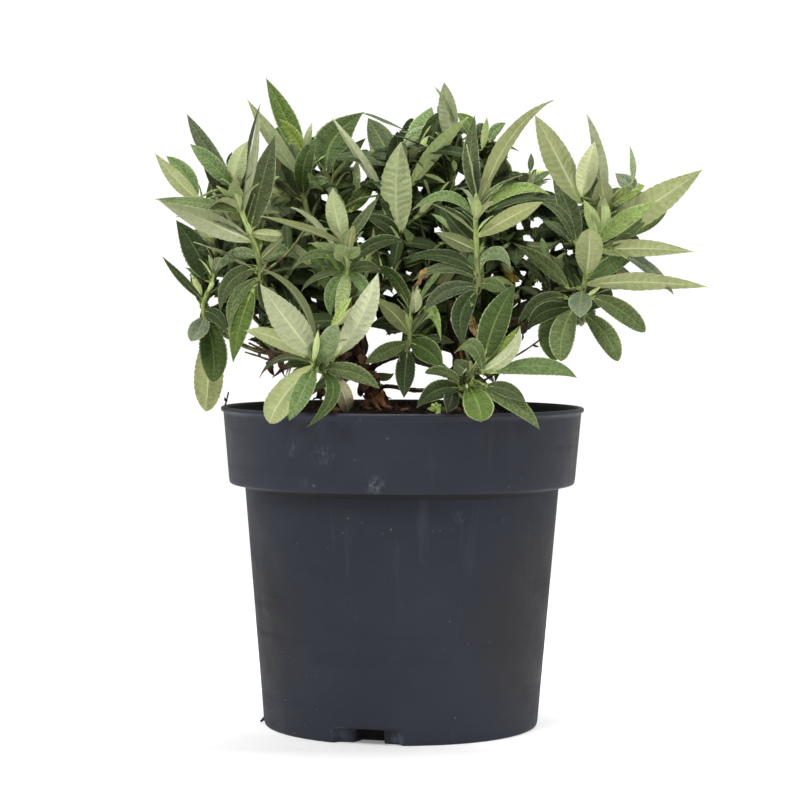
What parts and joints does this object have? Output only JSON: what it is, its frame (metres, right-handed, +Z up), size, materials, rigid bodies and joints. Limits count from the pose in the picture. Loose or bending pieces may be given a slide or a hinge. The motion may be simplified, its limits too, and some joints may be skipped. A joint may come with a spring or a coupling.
{
  "type": "potted butterfly bush",
  "caption": "Young butterfly bush with lance-shaped grey-green leaves on short woody stems, rooted in soil in a round black nursery pot with a deep collar.",
  "frame": {"origin": "centre of the pot's flat underside, on the surface that it stands on", "axes": "+Z up along the pot's axis, -Y towards the front, which shows one drain notch a little left of the middle"},
  "size_m": [0.341, 0.2914, 0.409],
  "materials": {
    "pot_plastic": "satin",
    "potting_soil": "matte",
    "woody_bark": "matte",
    "green_bark": "matte",
    "leaves": "matte"
  },
  "bodies": {
    "root": {"pot": "pot_plastic", "soil": "potting_soil", "main_stem": "woody_bark", "side_stem": "woody_bark", "bough_back_centre": "green_bark", "bough_back_left": "green_bark", "bough_back_low_left": "green_bark", "bough_back_low_right": "green_bark", "bough_back_right": "green_bark", "bough_centre_left": "green_bark", "bough_centre_low": "green_bark", "bough_centre_right": "green_bark", "bough_far_left": "green_bark", "bough_front_left": "green_bark", "bough_front_right": "green_bark", "bough_heart": "green_bark", "bough_left_back": "green_bark", "bough_right": "green_bark", "bough_top_centre": "green_bark", "bough_top_left": "green_bark", "bough_top_right": "green_bark", "bough_upper_left": "green_bark", "foliage_back_centre": "leaves", "foliage_back_left": "leaves", "foliage_back_low_left": "leaves", "foliage_back_low_right": "leaves", "foliage_back_right": "leaves", "foliage_centre_left": "leaves", "foliage_centre_low": "leaves", "foliage_centre_right": "leaves", "foliage_far_left": "leaves", "foliage_front_left": "leaves", "foliage_front_right": "leaves", "foliage_heart": "leaves", "foliage_left_back": "leaves", "foliage_right": "leaves", "foliage_top_centre": "leaves", "foliage_top_left": "leaves", "foliage_top_right": "leaves", "foliage_upper_left": "leaves"}
  },
  "joints": []
}
